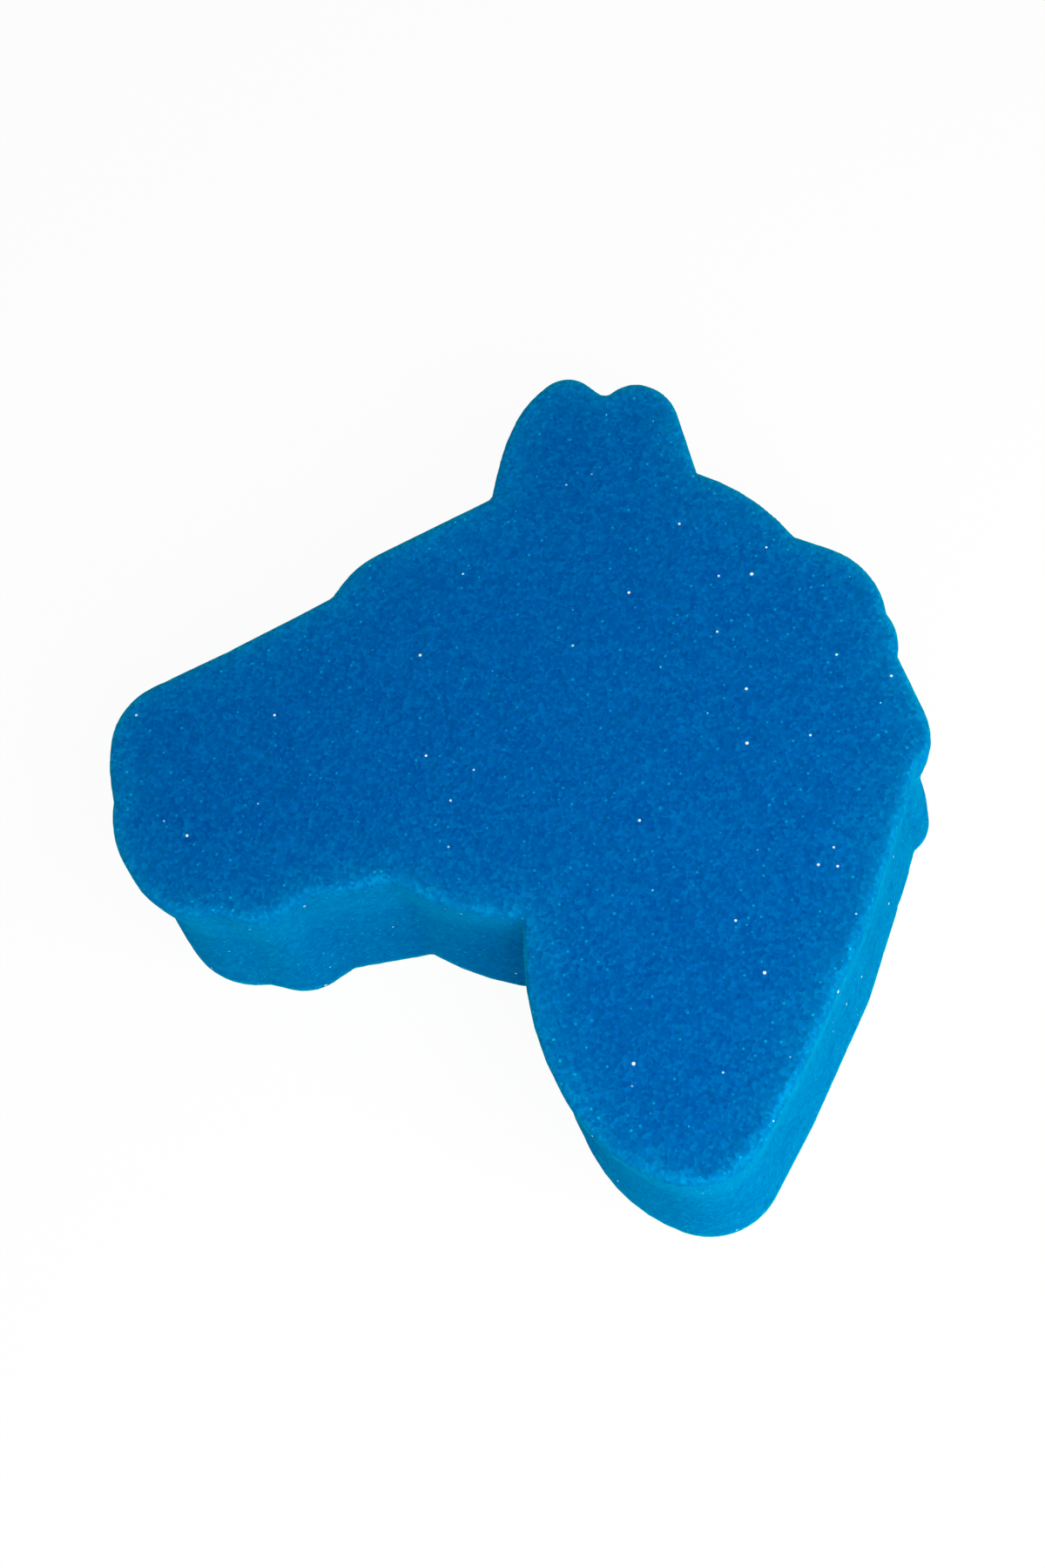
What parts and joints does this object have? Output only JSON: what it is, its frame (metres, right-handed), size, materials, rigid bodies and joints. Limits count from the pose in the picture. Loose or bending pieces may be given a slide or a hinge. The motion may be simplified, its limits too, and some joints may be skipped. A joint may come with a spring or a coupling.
{
  "type": "horse-head grooming sponge",
  "caption": "Soft open-cell foam sponge, a thick slab cut to the profile of a horse's head and neck, for washing and grooming.",
  "frame": {"origin": "middle of the outline's box, on the face that the sponge lies on", "axes": "+X from the muzzle to the mane, +Y from the neck to the ears, +Z through the thickness, away from the face it lies on"},
  "size_m": [0.1704, 0.1788, 0.045],
  "materials": {
    "foam": "open-cell foam, dyed blue, matte"
  },
  "bodies": {
    "root": {"sponge": "foam"}
  },
  "joints": []
}
